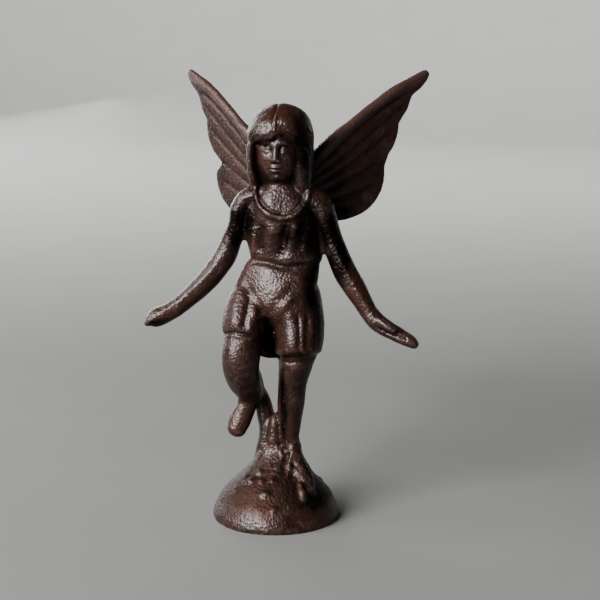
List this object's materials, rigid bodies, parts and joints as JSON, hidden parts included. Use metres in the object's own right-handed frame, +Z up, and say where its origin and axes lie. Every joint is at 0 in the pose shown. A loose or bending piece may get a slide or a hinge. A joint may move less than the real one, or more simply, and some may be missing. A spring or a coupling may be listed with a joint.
{
  "type": "fairy statue",
  "caption": "Small cast fairy with spread wings, standing on one leg beside a stump on a rounded mound of earth, arms held out low.",
  "frame": {"origin": "centre of the mound's flat underside, which stands on the ground", "axes": "the figure faces -Y, +X is towards the right of the picture, +Z is up"},
  "size_m": [0.0916, 0.0714, 0.1491],
  "materials": {
    "cast_iron": "rust-brown sand-cast iron with a worn, waxed sheen"
  },
  "bodies": {
    "root": {"fairy_statue": "cast_iron"}
  },
  "joints": []
}
